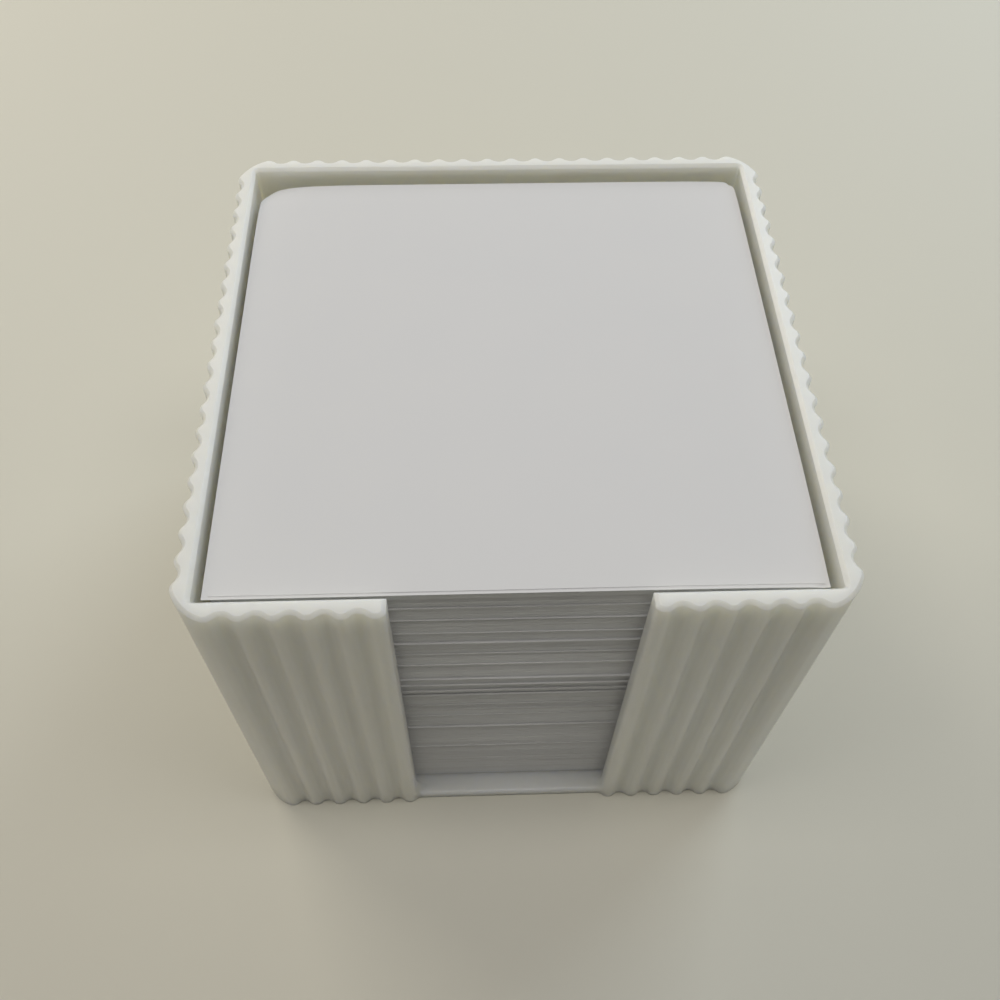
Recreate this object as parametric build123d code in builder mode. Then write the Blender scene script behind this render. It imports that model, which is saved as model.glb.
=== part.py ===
from build123d import *
import math
import os

# Note holder: an open box with wave-ribbed walls and a slotted front, full of loose square notes.
# Millimetres, +Z up. The origin is the middle of the base, and the slot faces -Y.

# Notes
note_side = 90.0
note_thickness = 0.1

# Holder
note_clearance = 2.0  # free space between the notes and each wall
wall = 2.3  # thickness where the ribs are lowest
rib_height = 0.9  # from the bottom of the wave to its crest
floor_thickness = 2.0
holder_height = 83.0
notes_below_rim = 2.15
corner_inset = 5.5  # from the outside of a wall to the first crest on the wall beside it
corner_crest_turn = 22.0  # degrees that this crest turns before the wider arc of the corner
cavity_corner_radius = 0.5
rim_bevel = 0.6
side_ribs = 20  # crests on the back and on each side, the corners' own included

# Front slot
slot_width = 38.3
slot_corner_radius = 2.5
slot_edge_round = 0.8
slot_rib_setback = 1.45  # from the slot's edge to the crest beside it
panel_ribs = 6  # crests on each side of the slot

overrun = 5.0  # how far a cut runs past what it cuts

# How the loose notes lie. Heights are shares of the stack, and the offsets to the right and to the back are
# shares of the free space beside the notes.
proud_height_shares = (
    0.207, 0.334, 0.401, 0.438, 0.467, 0.530, 0.555, 0.585, 0.614, 0.681, 0.730, 0.782, 0.824, 0.883, 0.935,
)
proud_right_shares = (
    0.10, -0.20, 0.15, -0.05, 0.25, -0.15, 0.05, 0.20, -0.10, 0.15, -0.25, 0.10, -0.15, 0.20, -0.05,
)
proud_back_shares = (
    -0.06, -0.10, 0.00, -0.03, -0.08, -0.23, -0.24, -0.28, -0.25, -0.10, -0.04, -0.12, -0.04, -0.10, -0.13,
)
pack_right_shares = (
    0.00, 0.05, -0.05, -0.10, -0.05, 0.05, 0.10, 0.05, 0.00,
    -0.05, -0.10, -0.05, 0.05, 0.10, 0.05, 0.00, 0.05,
)
pack_back_shares = (
    0.00, 0.04, 0.08, 0.10, 0.06, 0.02, -0.04, -0.08, -0.10,
    -0.06, 0.00, 0.05, 0.08, 0.06, 0.02, -0.02, -0.04,
)
loose_note_shares = {"third_note": (0.40, -0.28), "second_note": (-0.50, -0.32), "top_note": (-0.05, -0.05)}

# Worked out from the sizes above
cavity = note_side + 2 * note_clearance
outer = cavity + 2 * (wall + rib_height)
half_outer = outer / 2
first_crest = half_outer - corner_inset
slot_crest = slot_width / 2 + slot_rib_setback
side_pitch = 2 * first_crest / (side_ribs - 1)
panel_pitch = (first_crest - slot_crest) / (panel_ribs - 1)
stack_bottom = floor_thickness
stack_height = holder_height - floor_thickness - notes_below_rim
packs_top = stack_bottom + stack_height - len(loose_note_shares) * note_thickness

os.makedirs("parts", exist_ok=True)


def wave_arc(pitch):
    """Radius, and half the turn in degrees, of the equal arcs that make a smooth wave of one rib height."""
    radius = ((pitch / 2) ** 2 + rib_height**2) / (4 * rib_height)
    return radius, math.degrees(math.asin(pitch / 4 / radius))


def run_on(edge, radius, turns):
    """Carries an outline on from the end of an edge with tangent arcs, and returns the last of them."""
    for turn in turns:
        edge = JernArc(edge @ 1, edge % 1, radius, turn)
    return edge


def round_corner(edge):
    """Carries the outline on round a corner: out of one crest, along a wider arc and into the next."""
    ease = math.radians(corner_crest_turn)
    middle = corner_inset - side_radius * (math.sin(ease) + 1 - math.cos(ease))
    middle_radius = middle / math.sqrt(2) / math.sin(math.pi / 4 - ease)
    edge = run_on(edge, side_radius, [corner_crest_turn])
    edge = run_on(edge, middle_radius, [90 - 2 * corner_crest_turn])
    return run_on(edge, side_radius, [corner_crest_turn])


def note_square(offset_shares):
    """Adds the outline of a note, moved right and back by shares of its free space, to the open sketch."""
    with Locations(Vector(*offset_shares) * note_clearance):
        Rectangle(note_side, note_side)


def save(piece, name):
    """Labels a finished piece and writes it to its own file."""
    piece.part.label = name
    export_step(piece.part, f"parts/{name}.step")


# Holder: one ribbed shell. Half of its outline runs from the slot round to the middle of the back.
panel_radius, panel_turn = wave_arc(panel_pitch)
side_radius, side_turn = wave_arc(side_pitch)
panel_wave = [-panel_turn] + [2 * panel_turn, -2 * panel_turn] * (panel_ribs - 1) + [panel_turn]
side_wave = [side_turn] + [-2 * side_turn, 2 * side_turn] * (side_ribs - 2) + [-2 * side_turn, side_turn]
back_half_wave = [side_turn] + [-2 * side_turn, 2 * side_turn] * (side_ribs // 2 - 1) + [-side_turn]
trough_line = rib_height - half_outer

with BuildPart() as holder:
    with BuildSketch():
        with BuildLine():
            sill = Line((0, trough_line), (slot_crest - panel_pitch / 2, trough_line))
            panel = run_on(sill, panel_radius, panel_wave)
            front_corner = round_corner(panel)
            side = run_on(front_corner, side_radius, side_wave)
            back_corner = round_corner(side)
            run_on(back_corner, side_radius, back_half_wave)
            mirror(about=Plane.YZ)
        make_face()
    extrude(amount=holder_height)
    with BuildSketch(Plane.XY.offset(floor_thickness)):
        RectangleRounded(cavity, cavity, cavity_corner_radius)
    extrude(amount=holder_height, mode=Mode.SUBTRACT)
    with BuildSketch(Plane.XZ.offset(cavity / 2 - overrun)) as slot:
        with Locations((0, floor_thickness)):
            Rectangle(slot_width, holder_height, align=(Align.CENTER, Align.MIN))
        fillet(slot.vertices().group_by(Axis.Y)[0], slot_corner_radius)
    extrude(amount=wall + rib_height + 2 * overrun, mode=Mode.SUBTRACT)
    upright_faces = holder.faces().filter_by(Axis.X)
    slot_sides = upright_faces.filter_by(lambda face: face.center().Y < trough_line + wall)
    fillet(slot_sides.edges().filter_by(Axis.Z).group_by(Axis.Y)[0], slot_edge_round)
    chamfer(holder.faces().sort_by(Axis.Z)[-1].edges(), rim_bevel)
save(holder, "holder")

# Notes standing proud of the stack, each a single sheet
proud_bottoms = [stack_bottom + share * stack_height for share in proud_height_shares]
proud_offset_shares = list(zip(proud_right_shares, proud_back_shares))
for index, (bottom, offset_shares) in enumerate(zip(proud_bottoms, proud_offset_shares), start=1):
    with BuildPart() as proud_note:
        with BuildSketch(Plane.XY.offset(bottom)):
            note_square(offset_shares)
        extrude(amount=note_thickness)
    save(proud_note, f"proud_note_{index:02d}")

# Packs of notes between them, which lean a little from one proud note to the next
pack_bottoms = [stack_bottom] + [bottom + note_thickness for bottom in proud_bottoms]
pack_tops = proud_bottoms + [packs_top]
pack_offset_shares = list(zip(pack_right_shares, pack_back_shares))
for index, (bottom, top) in enumerate(zip(pack_bottoms, pack_tops)):
    with BuildPart() as note_pack:
        with BuildSketch(Plane.XY.offset(bottom)):
            note_square(pack_offset_shares[index])
        with BuildSketch(Plane.XY.offset(top)):
            note_square(pack_offset_shares[index + 1])
        loft(ruled=True)
    save(note_pack, f"note_pack_{index + 1:02d}")

# The three notes on top, each a single sheet
for index, (name, offset_shares) in enumerate(loose_note_shares.items()):
    with BuildPart() as loose_note:
        with BuildSketch(Plane.XY.offset(packs_top + index * note_thickness)):
            note_square(offset_shares)
        extrude(amount=note_thickness)
    save(loose_note, name)
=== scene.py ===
"""Looks of a wave-ribbed note holder full of loose notes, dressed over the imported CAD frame.

Everything is in metres, in the frame of the CAD model: +Z up, the slot faces -Y.
"""

from __future__ import annotations

import logging
import math
import random
from contextlib import contextmanager
from dataclasses import dataclass, field
from enum import Enum
from typing import Any, Callable, Iterator

import bmesh
import bpy
import numpy as np
from mathutils import Matrix, Vector

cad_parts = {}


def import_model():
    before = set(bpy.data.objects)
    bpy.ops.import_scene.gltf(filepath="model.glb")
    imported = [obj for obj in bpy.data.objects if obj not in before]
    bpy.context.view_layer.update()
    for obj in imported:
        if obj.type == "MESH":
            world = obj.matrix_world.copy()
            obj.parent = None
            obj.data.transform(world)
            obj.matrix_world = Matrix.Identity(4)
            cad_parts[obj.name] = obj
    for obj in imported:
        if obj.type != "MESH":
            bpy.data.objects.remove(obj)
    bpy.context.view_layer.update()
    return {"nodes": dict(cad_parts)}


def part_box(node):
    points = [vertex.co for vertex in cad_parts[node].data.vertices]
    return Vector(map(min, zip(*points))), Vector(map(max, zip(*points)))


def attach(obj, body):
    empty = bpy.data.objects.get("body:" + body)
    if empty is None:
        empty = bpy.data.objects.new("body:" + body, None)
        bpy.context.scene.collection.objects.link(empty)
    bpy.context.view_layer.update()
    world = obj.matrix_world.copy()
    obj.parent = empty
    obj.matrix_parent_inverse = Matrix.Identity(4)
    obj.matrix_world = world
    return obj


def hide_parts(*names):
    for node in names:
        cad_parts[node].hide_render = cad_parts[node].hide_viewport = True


LOG = logging.getLogger("note_holder")
MM = 0.001

Colour = tuple[float, float, float]
Triple = tuple[float, float, float]
EdgeTest = Callable[[bmesh.types.BMEdge], bool]


class Body(Enum):
    """The bodies of the CAD model that pieces ride on."""

    HOLDER = "holder"
    LOWER = "lower_notes"
    MIDDLE = "middle_notes"
    UPPER = "upper_notes"
    THIRD = "third_note"
    SECOND = "second_note"
    TOP = "top_note"


class Slot(Enum):
    """The material slots of the CAD record."""

    PLASTIC = "holder_plastic"
    PAPER = "note_paper"


def opaque(colour: Colour) -> tuple[float, float, float, float]:
    """Returns a colour with full alpha, as sockets take it."""
    return (*colour, 1.0)


class Wire:
    """One output socket of a node, on which Python's operators add Math nodes."""

    def __init__(self, graph: Graph, socket: bpy.types.NodeSocket) -> None:
        """Keeps the socket and the graph that it is in."""
        self.graph = graph
        self.socket = socket

    def _math(self, operation: str, *values: Number) -> Wire:
        """Adds a Math node.

        Args:
            operation: The Math node's operation.
            values: Its inputs, in order.

        Returns:
            The node's output.
        """
        return self.graph.node("ShaderNodeMath", {"operation": operation}, dict(enumerate(values)))

    def __add__(self, other: Number) -> Wire:
        """Returns self + other."""
        return self._math("ADD", self, other)

    def __radd__(self, other: float) -> Wire:
        """Returns other + self."""
        return self._math("ADD", other, self)

    def __sub__(self, other: Number) -> Wire:
        """Returns self - other."""
        return self._math("SUBTRACT", self, other)

    def __rsub__(self, other: float) -> Wire:
        """Returns other - self."""
        return self._math("SUBTRACT", other, self)

    def __mul__(self, other: Number) -> Wire:
        """Returns self * other."""
        return self._math("MULTIPLY", self, other)

    def __rmul__(self, other: float) -> Wire:
        """Returns other * self."""
        return self._math("MULTIPLY", other, self)

    def __abs__(self) -> Wire:
        """Returns the size of self without its sign."""
        return self._math("ABSOLUTE", self)

    def at_least(self, other: Number) -> Wire:
        """Returns the greater of self and other."""
        return self._math("MAXIMUM", self, other)


Number = Wire | float


class Graph:
    """The node tree of one material or of the world."""

    # Numbers of a Mix node's colour sockets, because their names also belong to hidden ones
    MIX_SHARE, MIX_FIRST, MIX_SECOND, MIX_RESULT = 0, 6, 7, 2

    def __init__(self, tree: bpy.types.NodeTree) -> None:
        """Takes over a node tree and empties it."""
        self.tree = tree
        tree.nodes.clear()

    @classmethod
    def of_material(cls, name: str) -> Graph:
        """Makes a new material.

        Args:
            name: The material's name.

        Returns:
            The empty graph of its surface.
        """
        material = bpy.data.materials.new(name)
        material.use_nodes = True
        return cls(material.node_tree)

    def node(
        self,
        kind: str,
        settings: dict[str, Any] | None = None,
        sockets: dict[str | int, Any] | None = None,
        output: str | int = 0,
    ) -> Wire | None:
        """Adds any node.

        Args:
            kind: The node's type.
            settings: Its own properties, set before its sockets.
            sockets: Values or wires for its inputs, by name or number.
            output: Which output to return, by name or number.

        Returns:
            The chosen output, or None for a node that has none.
        """
        made = self.tree.nodes.new(kind)
        for key, value in (settings or {}).items():
            setattr(made, key, value)
        for key, value in (sockets or {}).items():
            if isinstance(value, Wire):
                self.tree.links.new(value.socket, made.inputs[key])
            else:
                made.inputs[key].default_value = value
        return Wire(self, made.outputs[output]) if len(made.outputs) else None

    def place(self) -> Wire:
        """Returns the surface's place in its object, in metres."""
        return self.node("ShaderNodeTexCoord", output="Object")

    def noise(self, place: Wire, grain: Triple, detail: float, roughness: float = 0.5) -> Wire:
        """Adds noise whose grain has its own length along each axis.

        Args:
            place: Where the surface is.
            grain: Length of the grain along X, Y and Z, in metres.
            detail: How many finer layers the noise has.
            roughness: How strong the finer layers are.

        Returns:
            The noise, from 0 to 1.
        """
        scale = tuple(1 / length for length in grain)
        spread = self.node("ShaderNodeMapping", {}, {"Vector": place, "Scale": scale})
        values = {"Vector": spread, "Scale": 1.0, "Detail": detail, "Roughness": roughness}
        return self.node("ShaderNodeTexNoise", {}, values)

    def blend(self, share: Number, first: Colour | Wire, second: Colour | Wire) -> Wire:
        """Mixes two colours.

        Args:
            share: How much of the second colour there is.
            first: Colour or wire at a share of 0.
            second: Colour or wire at a share of 1.

        Returns:
            The mixed colour.
        """
        first, second = (opaque(c) if isinstance(c, tuple) else c for c in (first, second))
        sockets = {self.MIX_SHARE: share, self.MIX_FIRST: first, self.MIX_SECOND: second}
        return self.node("ShaderNodeMix", {"data_type": "RGBA"}, sockets, self.MIX_RESULT)

    def bump(self, height: Wire, relief: float) -> Wire:
        """Turns a height into uneven normals.

        Args:
            height: The height, from 0 to 1.
            relief: What a height of 1 stands for, in metres.

        Returns:
            The normals.
        """
        return self.node("ShaderNodeBump", {}, {"Strength": 1.0, "Distance": relief, "Height": height})

    def shown(self) -> Wire:
        """Returns 1 for what the camera, a reflection or a clear surface shows, and 0 for other light."""
        kinds = ("Is Camera Ray", "Is Glossy Ray", "Is Transmission Ray")
        camera, glossy, through = (self.node("ShaderNodeLightPath", output=kind) for kind in kinds)
        return camera.at_least(glossy).at_least(through)

    def surface(self, sockets: dict[str, Any]) -> None:
        """Ends the graph in one Principled surface.

        Args:
            sockets: Values or wires for the shader's inputs.
        """
        shader = self.node("ShaderNodeBsdfPrincipled", {}, sockets)
        self.node("ShaderNodeOutputMaterial", {}, {"Surface": shader})


@dataclass(frozen=True)
class WaxyPlastic:
    """White plastic with a soft, waxy gloss and the fine level lines of its making."""

    name: str = "waxy_white_plastic"
    colour: Colour = (0.900, 0.893, 0.815)
    deeper_colour: Colour = (0.875, 0.868, 0.785)
    cloud: Triple = (9 * MM, 9 * MM, 9 * MM)
    roughness: float = 0.28
    level_line: Triple = (24 * MM, 24 * MM, 0.22 * MM)
    level_share: float = 0.6
    grain: Triple = (0.16 * MM, 0.16 * MM, 0.16 * MM)
    grain_share: float = 0.4
    relief: float = 0.012 * MM
    scatter: float = 1.0
    scatter_colour: Colour = (1.0, 0.95, 0.80)
    scatter_depth: float = 5.0 * MM

    def material(self) -> bpy.types.Material:
        """Builds the finish.

        Returns:
            The new material.
        """
        graph = Graph.of_material(self.name)
        place = graph.place()
        clouds = graph.noise(place, self.cloud, detail=3.0)
        levels = graph.noise(place, self.level_line, detail=1.0)
        grain = graph.noise(place, self.grain, detail=2.0, roughness=0.6)
        height = levels * self.level_share + grain * self.grain_share
        graph.surface(
            {
                "Base Color": graph.blend(clouds, self.colour, self.deeper_colour),
                "Roughness": self.roughness,
                "Normal": graph.bump(height, self.relief),
                "Subsurface Weight": self.scatter,
                "Subsurface Radius": self.scatter_colour,
                "Subsurface Scale": self.scatter_depth,
            }
        )
        return bpy.data.materials[self.name]


@dataclass(frozen=True)
class NotePaper:
    """Plain white writing paper with cloudy fibres, its cut edges painted paler and cooler than its face as
    painted light against the shade they stand in.
    """

    name: str = "plain_note_paper"
    colour: Colour = (0.715, 0.711, 0.718)
    cloud_colour: Colour = (0.738, 0.729, 0.727)
    cloud: Triple = (14 * MM, 14 * MM, 14 * MM)
    # Painted light: the cut edges get a lighter, cooler colour than the face to lift the shade that falls on them
    # in the slot. The noise between the two edge colours is random sheet-to-sheet tone.
    lightened_edge_colour: Colour = (0.790, 0.800, 0.830)
    lightened_pale_edge_colour: Colour = (0.850, 0.858, 0.880)
    sheet_edge: Triple = (60 * MM, 60 * MM, 0.35 * MM)
    roughness: float = 0.78
    gloss: float = 0.35
    fibre: Triple = (0.35 * MM, 0.35 * MM, 0.35 * MM)
    relief: float = 0.006 * MM

    def material(self) -> bpy.types.Material:
        """Builds the finish.

        Returns:
            The new material.
        """
        graph = Graph.of_material(self.name)
        place = graph.place()
        clouds = graph.noise(place, self.cloud, detail=3.0)
        fibres = graph.noise(place, self.fibre, detail=3.0, roughness=0.65)
        sheets = graph.noise(place, self.sheet_edge, detail=2.0, roughness=0.7)
        facing = graph.node("ShaderNodeNewGeometry", output="Normal")
        upright = graph.node("ShaderNodeSeparateXYZ", {}, {0: facing}, "Z")
        # Mask of the upright cut edges, where the painted light of the edge colours goes
        edge = 1.0 - abs(upright)
        face_colour = graph.blend(clouds, self.colour, self.cloud_colour)
        lightened_edge_colour = graph.blend(sheets, self.lightened_edge_colour, self.lightened_pale_edge_colour)
        graph.surface(
            {
                "Base Color": graph.blend(edge, face_colour, lightened_edge_colour),
                "Roughness": self.roughness,
                "Normal": graph.bump(fibres, self.relief),
                "Specular IOR Level": self.gloss,
            }
        )
        return bpy.data.materials[self.name]


@dataclass(frozen=True)
class PaleTable:
    """Plain pale table top that turns into the backdrop far from the holder."""

    backdrop: Colour
    name: str = "pale_table_top"
    colour: Colour = (0.690, 0.665, 0.570)
    cloud_colour: Colour = (0.705, 0.685, 0.600)
    cloud: Triple = (0.3, 0.3, 0.3)
    roughness: float = 0.6
    gloss: float = 0.3
    fade_start: float = 0.30
    fade_end: float = 0.85

    def material(self) -> bpy.types.Material:
        """Builds the finish.

        Returns:
            The new material.
        """
        graph = Graph.of_material(self.name)
        place = graph.place()
        clouds = graph.noise(place, self.cloud, detail=1.0)
        colour = graph.blend(clouds, self.colour, self.cloud_colour)
        finish = {"Base Color": colour, "Roughness": self.roughness, "Specular IOR Level": self.gloss}
        top = graph.node("ShaderNodeBsdfPrincipled", {}, finish)
        distance = graph.node("ShaderNodeVectorMath", {"operation": "LENGTH"}, {0: place}, "Value")
        reach = {"Value": distance, "From Min": self.fade_start, "From Max": self.fade_end}
        fade = graph.node("ShaderNodeMapRange", {"interpolation_type": "SMOOTHSTEP"}, reach)
        far = graph.node("ShaderNodeEmission", {}, {"Color": opaque(self.backdrop), "Strength": 1.0})
        mixed = graph.node("ShaderNodeMixShader", {}, {0: fade * graph.shown(), 1: top, 2: far})
        graph.node("ShaderNodeOutputMaterial", {}, {"Surface": mixed})
        return bpy.data.materials[self.name]


class Bench:
    """Modelling steps on one new mesh, each through Blender's own operators."""

    DOUBLES = 0.001 * MM
    FLAT_ANGLE = math.radians(0.5)

    def __init__(self, obj: bpy.types.Object) -> None:
        """Keeps the object that is worked on."""
        self.obj = obj

    @classmethod
    def from_copy(cls, node: bpy.types.Object, name: str) -> Bench:
        """Starts from a copy of a CAD node's mesh.

        Args:
            node: The CAD node.
            name: The new piece's name.

        Returns:
            The bench with the copy, its doubles merged and its flat faces made whole.
        """
        obj = bpy.data.objects.new(name, node.data.copy())
        bpy.context.scene.collection.objects.link(obj)
        bench = cls(obj)
        obj.data.materials.clear()
        with bench.editing():
            bpy.ops.mesh.customdata_custom_splitnormals_clear()
            bpy.ops.mesh.select_all(action="SELECT")
            bpy.ops.mesh.remove_doubles(threshold=cls.DOUBLES)
            bpy.ops.mesh.dissolve_limited(angle_limit=cls.FLAT_ANGLE)
        return bench

    @classmethod
    def from_sheet(cls, name: str, side: float, thickness: float, centre: Triple) -> Bench:
        """Starts from a primitive at the size and place of one sheet.

        Args:
            name: The new piece's name.
            side: Length of the sheet's sides.
            thickness: The sheet's thickness.
            centre: The middle of the sheet.

        Returns:
            The bench with the sheet.
        """
        bpy.ops.object.select_all(action="DESELECT")
        bpy.ops.mesh.primitive_cube_add(size=1.0, location=centre, scale=(side, side, thickness))
        obj = bpy.context.active_object
        obj.name = obj.data.name = name
        bpy.ops.object.transform_apply(location=True, rotation=True, scale=True)
        return cls(obj)

    def pick(self) -> None:
        """Makes the piece the active object and the only one selected."""
        bpy.ops.object.select_all(action="DESELECT")
        self.obj.select_set(True)
        bpy.context.view_layer.objects.active = self.obj

    @contextmanager
    def editing(self) -> Iterator[bmesh.types.BMesh]:
        """Opens edit mode on the piece alone, with nothing selected in it."""
        self.pick()
        bpy.ops.object.mode_set(mode="EDIT")
        bpy.ops.mesh.select_mode(type="EDGE")
        bpy.ops.mesh.select_all(action="DESELECT")
        yield bmesh.from_edit_mesh(self.obj.data)
        bpy.ops.object.mode_set(mode="OBJECT")

    def round_edges(self, test: EdgeTest, width: float, strips: int) -> int:
        """Rounds the edges that pass a test with the bevel operator.

        Args:
            test: Says which edges to round.
            width: How far the rounding reaches on each side of an edge.
            strips: How many strips it has.

        Returns:
            How many edges were rounded.
        """
        with self.editing() as mesh:
            picked = [edge for edge in mesh.edges if test(edge)]
            for edge in picked:
                edge.select_set(True)
            bmesh.update_edit_mesh(self.obj.data)
            bpy.ops.mesh.bevel(offset=width, segments=strips, profile=0.5, clamp_overlap=True)
        return len(picked)

    def merge_close(self, distance: float) -> None:
        """Merges vertices that lie closer together than a distance.

        Args:
            distance: The distance, in metres.
        """
        with self.editing():
            bpy.ops.mesh.select_all(action="SELECT")
            bpy.ops.mesh.remove_doubles(threshold=distance)

    def cut_across(self, axis: int, places: tuple[float, ...]) -> None:
        """Cuts the mesh through with the bisect operator.

        Args:
            axis: 0 for cuts across X, 1 for cuts across Y.
            places: Where the cuts lie on that axis.
        """
        normal = tuple(float(axis == n) for n in range(3))
        with self.editing():
            for at in places:
                bpy.ops.mesh.select_all(action="SELECT")
                bpy.ops.mesh.bisect(plane_co=tuple(at * n for n in normal), plane_no=normal)

    def turn(self, degrees: float, centre: Vector) -> None:
        """Turns the piece about an upright line.

        Args:
            degrees: How far it turns, to the left seen from above.
            centre: A point on the line.
        """
        with self.editing():
            bpy.ops.mesh.select_all(action="SELECT")
            bpy.ops.transform.rotate(value=-math.radians(degrees), orient_axis="Z", center_override=tuple(centre))

    def apply(self, kind: str, **settings: Any) -> None:
        """Adds a modifier and applies it.

        Args:
            kind: The modifier's type.
            settings: Its properties.
        """
        modifier = self.obj.modifiers.new(kind.lower(), kind)
        for key, value in settings.items():
            setattr(modifier, key, value)
        self.pick()
        bpy.ops.object.modifier_apply(modifier=modifier.name)

    def points(self) -> np.ndarray:
        """Returns the places of all vertices, one row each."""
        flat = np.empty(len(self.obj.data.vertices) * 3)
        self.obj.data.vertices.foreach_get("co", flat)
        return flat.reshape(-1, 3)

    def move_points(self, places: np.ndarray) -> None:
        """Puts all vertices at new places.

        Args:
            places: One row for each vertex.
        """
        self.obj.data.vertices.foreach_set("co", places.ravel())
        self.obj.data.update()

    def smooth(self, degrees: float) -> None:
        """Shades the piece smooth, apart from edges sharper than an angle.

        Args:
            degrees: The angle.
        """
        self.pick()
        bpy.ops.object.shade_smooth_by_angle(angle=math.radians(degrees))

    def hand_over(self, body: Body, slot: Slot, finish: bpy.types.Material, *nodes: str) -> None:
        """Gives the finished piece its material and its place in the frame.

        Args:
            body: The CAD body that it rides on.
            slot: The record's material slot; not used.
            finish: Its material.
            nodes: The CAD nodes that it stands for.
        """
        self.obj.data.materials.append(finish)
        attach(self.obj, body.value)
        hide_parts(*nodes)
        LOG.info("%s: %d faces, rides on %s", self.obj.name, len(self.obj.data.polygons), body.value)


@dataclass
class RibbedHolder:
    """The open box with wave-ribbed walls, rounded along its rim, its slot and its foot."""

    node: str = "holder"
    height: float = 83.0 * MM
    floor: float = 2.0 * MM
    rim_bevel: float = 0.6 * MM
    rim_round: float = 0.40 * MM
    rim_strips: int = 3
    slot_half: float = 19.15 * MM
    cavity_half: float = 47.0 * MM
    slot_corner: float = 2.5 * MM
    slot_round: float = 0.5 * MM
    slot_strips: int = 4
    foot_round: float = 0.25 * MM
    foot_strips: int = 2
    close: float = 0.01 * MM
    merge: float = 0.002 * MM
    smooth_degrees: float = 40.0

    def on_inner_slot_edge(self, edge: bmesh.types.BMEdge) -> bool:
        """Says whether an edge runs up an inner corner of the slot.

        Args:
            edge: An edge of the holder.

        Returns:
            True for those edges, also where they lean over the rim.
        """
        reach = self.rim_bevel + self.close
        return all(
            abs(abs(v.co.x) - self.slot_half) < reach
            and abs(v.co.y + self.cavity_half) < reach
            and v.co.z > self.floor + self.slot_corner - self.close
            for v in edge.verts
        ) and abs(edge.verts[0].co.z - edge.verts[1].co.z) > self.close

    def on_rim(self, edge: bmesh.types.BMEdge) -> bool:
        """Says whether an edge bounds the bevel along the rim.

        Args:
            edge: An edge of the holder.

        Returns:
            True for the bevel's upper and lower edges.
        """
        levels = (self.height, self.height - self.rim_bevel)
        return any(all(abs(v.co.z - level) < self.close for v in edge.verts) for level in levels)

    def on_foot(self, edge: bmesh.types.BMEdge) -> bool:
        """Says whether an edge bounds the face that the holder stands on.

        Args:
            edge: An edge of the holder.

        Returns:
            True for the lowest edges.
        """
        return all(abs(v.co.z) < self.close for v in edge.verts)

    def build(self, node: bpy.types.Object, finish: bpy.types.Material) -> None:
        """Models the holder and dresses it.

        Args:
            node: The CAD holder.
            finish: Its plastic.
        """
        bench = Bench.from_copy(node, "ribbed_holder")
        slot_edges = bench.round_edges(self.on_inner_slot_edge, self.slot_round, self.slot_strips)
        rim_edges = bench.round_edges(self.on_rim, self.rim_round, self.rim_strips)
        foot_edges = bench.round_edges(self.on_foot, self.foot_round, self.foot_strips)
        LOG.info("rounded %d slot, %d rim and %d foot edges", slot_edges, rim_edges, foot_edges)
        bench.merge_close(self.merge)
        bench.smooth(self.smooth_degrees)
        bench.apply("WEIGHTED_NORMAL", keep_sharp=True)
        bench.hand_over(Body.HOLDER, Slot.PLASTIC, finish, self.node)


@dataclass(frozen=True)
class Droop:
    """How one corner of the topmost notes hangs: how far, and over what length that fades."""

    side_x: int
    side_y: int
    drop: float
    length: float


@dataclass(frozen=True)
class WornCorner:
    """How round one corner of the topmost notes is worn."""

    side_x: int
    side_y: int
    radius: float


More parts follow.
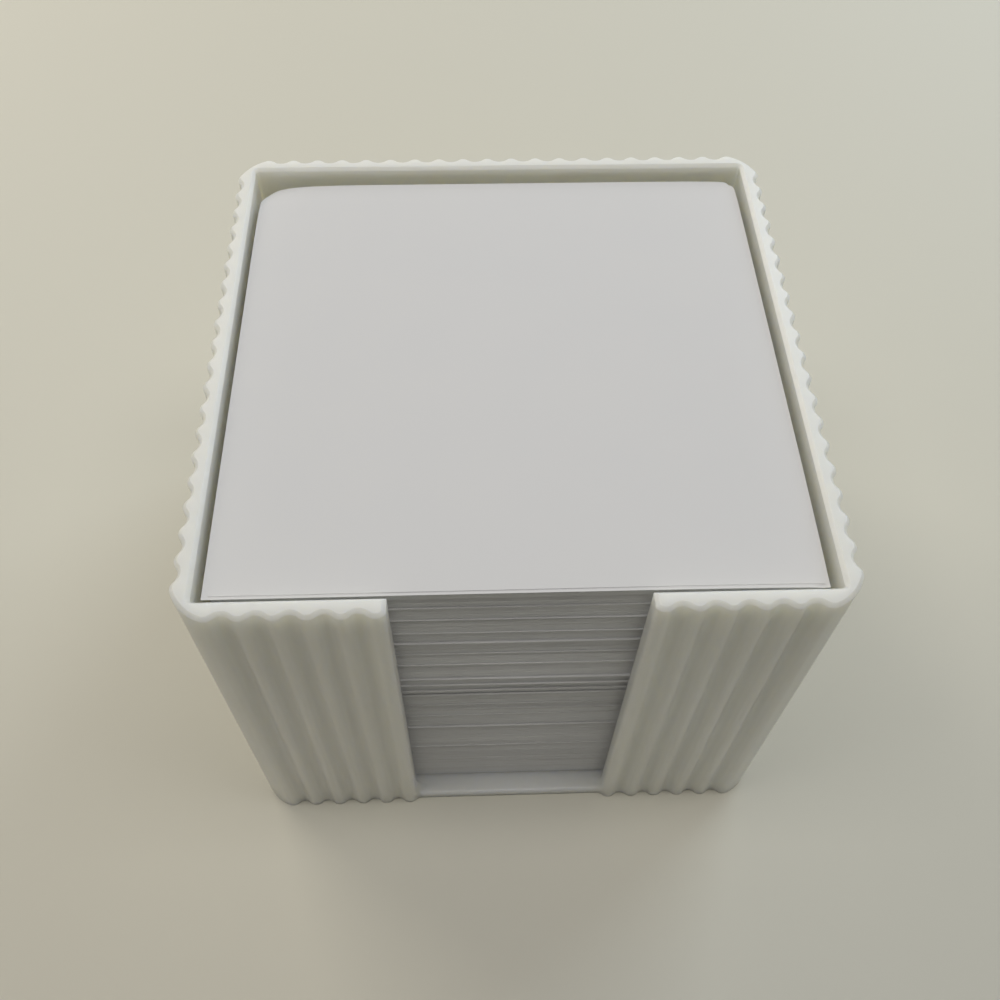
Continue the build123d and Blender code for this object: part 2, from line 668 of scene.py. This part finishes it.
@dataclass
class LooseNotes:
    """All the notes: tidy packs, single notes that stand proud of them, and the three on top."""

    side: float = 90 * MM
    pitch: float = 0.1 * MM
    pack_sheet: float = 0.092 * MM
    packs: dict[Body, range] = field(
        default_factory=lambda: {Body.LOWER: range(1, 3), Body.MIDDLE: range(3, 11), Body.UPPER: range(11, 17)}
    )
    proud: dict[Body, range] = field(
        default_factory=lambda: {Body.LOWER: range(1, 3), Body.MIDDLE: range(3, 11), Body.UPPER: range(11, 16)}
    )
    loose_twists: dict[Body, float] = field(
        default_factory=lambda: {Body.THIRD: -0.05, Body.SECOND: 0.05, Body.TOP: 0.1}
    )
    stack_top: float = 80.85 * MM
    droop_depth: float = 8.9 * MM
    droops: tuple[Droop, ...] = (
        Droop(-1, 1, 1.9 * MM, 3.0 * MM),
        Droop(-1, 1, 0.3 * MM, 10 * MM),
        Droop(1, 1, 0.35 * MM, 2.0 * MM),
        Droop(1, 1, 0.15 * MM, 10 * MM),
        Droop(1, -1, 0.45 * MM, 10 * MM),
    )
    worn_corners: tuple[WornCorner, ...] = (WornCorner(-1, 1, 3.0 * MM), WornCorner(1, 1, 1.1 * MM))
    bend_steps: tuple[float, ...] = (1.2 * MM, 3.0 * MM, 12.0 * MM)
    top_bend_steps: tuple[float, ...] = tuple(
        step * MM for step in (0.4, 0.8, 1.2, 1.6, 2.2, 3.0, 4.2, 6.0, 9.0, 14.0, 22.0)
    )
    smooth_degrees: float = 30.0
    unevenness: float = 0.02 * MM
    twist: float = 0.02
    proud_twist: float = 0.22
    close: float = 0.001 * MM
    seed: int = 23

    def freedom(self, heights: np.ndarray | float) -> np.ndarray:
        """Says how freely sheets bend.

        Args:
            heights: Heights of vertices.

        Returns:
            Shares from 1 on top of the stack to 0 well inside it.
        """
        packs_top = self.stack_top - len(self.loose_twists) * self.pitch
        return 1.0 - np.clip((packs_top - heights) / self.droop_depth, 0.0, 1.0)

    def wear(self, flat: np.ndarray, share: float) -> np.ndarray:
        """Rounds the worn corners of a sheet.

        Args:
            flat: X and Y of its vertices, measured from its middle.
            share: How worn it is, from 0 to 1.

        Returns:
            The vertices with those corners drawn in.
        """
        worn = flat.copy()
        for corner in self.worn_corners:
            start = self.side / 2 - corner.radius
            beyond = flat * (corner.side_x, corner.side_y) - start
            inside = (beyond > 0.0).all(axis=1)
            draw_in = beyond[inside].max(axis=1) / np.hypot(*beyond[inside].T)
            offsets = beyond[inside] * (1.0 + share * (draw_in - 1.0))[:, None]
            worn[inside] = (start + offsets) * (corner.side_x, corner.side_y)
        return worn

    def droop(self, places: np.ndarray) -> np.ndarray:
        """Lets corners of the topmost notes hang, less and less with depth, so that no two sheets cross.

        Args:
            places: Places of vertices, one row each.

        Returns:
            The places with the corners lowered.
        """
        lowered = places.copy()
        for corner in self.droops:
            away = self.side - places[:, :2] @ (corner.side_x, corner.side_y)
            fade = np.exp(-np.maximum(away, 0.0) / corner.length)
            lowered[:, 2] -= corner.drop * fade * self.freedom(places[:, 2])
        return lowered

    def grid(self, bench: Bench, centre: Vector, steps: tuple[float, ...]) -> None:
        """Cuts a sheet near its edges, where its corners bend.

        Args:
            bench: The bench with one sheet.
            centre: The sheet's middle.
            steps: How far from its edges the cuts lie.
        """
        for axis in (0, 1):
            reach = [sign * (self.side / 2 - step) for step in steps for sign in (-1, 1)]
            bench.cut_across(axis, tuple(centre[axis] + offset for offset in reach))

    def middles(self, node: bpy.types.Object) -> tuple[Vector, ...]:
        """Finds the middles of a pack's lowest and highest faces.

        Args:
            node: The CAD pack.

        Returns:
            Both middles, the lower one first.
        """
        points = np.array([v.co for v in node.data.vertices])
        low, high = points[:, 2].min(), points[:, 2].max()
        ends = [points[np.abs(points[:, 2] - level) < self.close] for level in (low, high)]
        return tuple(Vector((end.min(0) + end.max(0)) / 2) for end in ends)

    def build_pack(self, number: int, body: Body, node: bpy.types.Object, finish: bpy.types.Material) -> None:
        """Models a pack as its single sheets, each a little out of line.

        Args:
            number: The pack's number, from the bottom.
            body: The body that it rides on.
            node: The CAD pack.
            finish: Its paper.
        """
        draw = random.Random(self.seed + number)
        low, high = self.middles(node)
        count = round((high.z - low.z) / self.pitch)
        pitch = (high.z - low.z) / count
        first = (0.0, 0.0, low.z + pitch / 2)
        bench = Bench.from_sheet(f"pack_sheets_{number:02d}", self.side, self.pack_sheet, first)
        if high.z > self.stack_top - self.droop_depth:
            self.grid(bench, Vector(), self.bend_steps)
        bench.apply(
            "ARRAY",
            count=count,
            use_relative_offset=False,
            use_constant_offset=True,
            constant_offset_displace=(0.0, 0.0, pitch),
        )
        sheets = bench.points().reshape(count, -1, 3)
        for index, sheet in enumerate(sheets):
            middle = low.lerp(high, (index + 0.5) / count)
            turn = math.radians(draw.gauss(0.0, self.twist))
            shift = [draw.gauss(0.0, self.unevenness) for _ in range(2)]
            worn = self.wear(sheet[:, :2], self.freedom(middle.z))
            turned = worn @ np.array(((math.cos(turn), math.sin(turn)), (-math.sin(turn), math.cos(turn))))
            sheet[:, :2] = turned + (middle.x + shift[0], middle.y + shift[1])
        bench.move_points(self.droop(sheets.reshape(-1, 3)))
        bench.hand_over(body, Slot.PAPER, finish, node.name)

    def build_single(
        self,
        name: str,
        body: Body,
        node: bpy.types.Object,
        finish: bpy.types.Material,
        twist: float,
        steps: tuple[float, ...],
    ) -> None:
        """Models one whole sheet.

        Args:
            name: The piece's name.
            body: The body that it rides on.
            node: The CAD note.
            finish: Its paper.
            twist: How far it is turned, in degrees.
            steps: How far from its edges it is cut to bend.
        """
        low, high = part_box(node.name)
        centre = (low + high) / 2
        bench = Bench.from_sheet(name, self.side, high.z - low.z, tuple(centre))
        self.grid(bench, centre, steps)
        places = bench.points()
        places[:, :2] = self.wear(places[:, :2] - centre[:2], self.freedom(centre.z)) + centre[:2]
        bench.move_points(places)
        bench.turn(twist, centre)
        bench.move_points(self.droop(bench.points()))
        bench.smooth(self.smooth_degrees)
        bench.hand_over(body, Slot.PAPER, finish, node.name)

    def build(self, nodes: dict[str, bpy.types.Object], finish: bpy.types.Material) -> None:
        """Models every note and dresses it.

        Args:
            nodes: The CAD nodes by name.
            finish: The paper.
        """
        draw = random.Random(self.seed)
        for body, numbers in self.packs.items():
            for number in numbers:
                self.build_pack(number, body, nodes[f"note_pack_{number:02d}"], finish)
        for body, numbers in self.proud.items():
            for number in numbers:
                twist = draw.uniform(-self.proud_twist, self.proud_twist)
                name, node = f"proud_sheet_{number:02d}", nodes[f"proud_note_{number:02d}"]
                self.build_single(name, body, node, finish, twist, self.bend_steps)
        for body, twist in self.loose_twists.items():
            self.build_single(f"{body.value}_sheet", body, nodes[body.value], finish, twist, self.top_bend_steps)


@dataclass(frozen=True)
class SoftLamp:
    """One large soft lamp that faces the notes."""

    name: str
    place: Triple
    sides: tuple[float, float]
    power: float
    colour: Colour
    aim: Triple = (0.0, 0.0, 0.05)

    def build(self) -> None:
        """Hangs the lamp."""
        data = bpy.data.lights.new(self.name, "AREA")
        data.shape, data.energy, data.color = "RECTANGLE", self.power, self.colour
        data.size, data.size_y = self.sides
        lamp = bpy.data.objects.new(self.name, data)
        lamp.location = self.place
        lamp.rotation_mode = "QUATERNION"
        lamp.rotation_quaternion = (Vector(self.aim) - Vector(self.place)).to_track_quat("-Z", "Y")
        bpy.context.scene.collection.objects.link(lamp)


@dataclass
class Studio:
    """Camera, soft lights, world and table."""

    eye: Triple = (-0.00695, -0.11689, 0.21068)
    ahead: Triple = (0.02935517, 0.55857899, -0.82893171)
    right: Triple = (0.99938086, -0.03249215, 0.01349637)
    lens: float = 36.65
    sensor: float = 36.0
    clip: tuple[float, float] = (0.01, 50.0)
    lamps: tuple[SoftLamp, ...] = (
        SoftLamp("ceiling", (0.0, -0.08, 1.05), (1.30, 0.35), 5.4, (1.0, 0.98, 0.95)),
        SoftLamp("right_window", (0.46, 0.52, 0.48), (0.45, 0.45), 2.1, (0.80, 0.91, 1.0)),
        SoftLamp("left_window", (-0.46, 0.52, 0.48), (0.45, 0.45), 2.1, (1.0, 0.94, 0.82)),
    )
    fill_colour: Colour = (1.0, 0.99, 0.96)
    fill_strength: float = 0.04
    backdrop_colour: Colour = (0.80, 0.80, 0.78)
    table_side: float = 6.0

    def camera(self) -> None:
        """Sets the camera at the photograph's viewing angle."""
        ahead = Vector(self.ahead).normalized()
        right = Vector(self.right).normalized()
        up = right.cross(ahead)
        data = bpy.data.cameras.new("camera")
        data.lens, data.sensor_width = self.lens, self.sensor
        data.clip_start, data.clip_end = self.clip
        camera = bpy.data.objects.new("camera", data)
        turn = Matrix((right, up, -ahead)).transposed().to_4x4()
        camera.matrix_world = Matrix.Translation(self.eye) @ turn
        bpy.context.scene.collection.objects.link(camera)
        bpy.context.scene.camera = camera

    def world(self) -> None:
        """Fills the scene with even light and shows a plain pale backdrop."""
        world = bpy.data.worlds.new("soft_fill")
        world.use_nodes = True
        graph = Graph(world.node_tree)
        fill, backdrop = (
            graph.node("ShaderNodeBackground", {}, {"Color": opaque(colour), "Strength": strength})
            for colour, strength in ((self.fill_colour, self.fill_strength), (self.backdrop_colour, 1.0))
        )
        mixed = graph.node("ShaderNodeMixShader", {}, {0: graph.shown(), 1: fill, 2: backdrop})
        graph.node("ShaderNodeOutputWorld", {}, {"Surface": mixed})
        bpy.context.scene.world = world

    def table(self, finish: bpy.types.Material) -> None:
        """Lays the plain pale table under the holder.

        Args:
            finish: The table's material.
        """
        bpy.ops.object.select_all(action="DESELECT")
        bpy.ops.mesh.primitive_plane_add(size=self.table_side, location=(0.0, 0.0, 0.0))
        table = bpy.context.active_object
        table.name = table.data.name = "table_top"
        table.data.materials.append(finish)

    def build(self) -> None:
        """Sets the camera, the lights, the world and the table."""
        self.camera()
        for lamp in self.lamps:
            lamp.build()
        self.world()
        self.table(PaleTable(self.backdrop_colour).material())
        bpy.context.scene.view_settings.view_transform = "Standard"


def main() -> None:
    """Loads the frame, then builds the studio, the holder and its notes."""
    logging.basicConfig(level=logging.INFO, format="%(name)s: %(message)s")
    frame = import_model()
    Studio().build()
    RibbedHolder().build(frame["nodes"]["holder"], WaxyPlastic().material())
    LooseNotes().build(frame["nodes"], NotePaper().material())


if __name__ == "__main__":
    main()
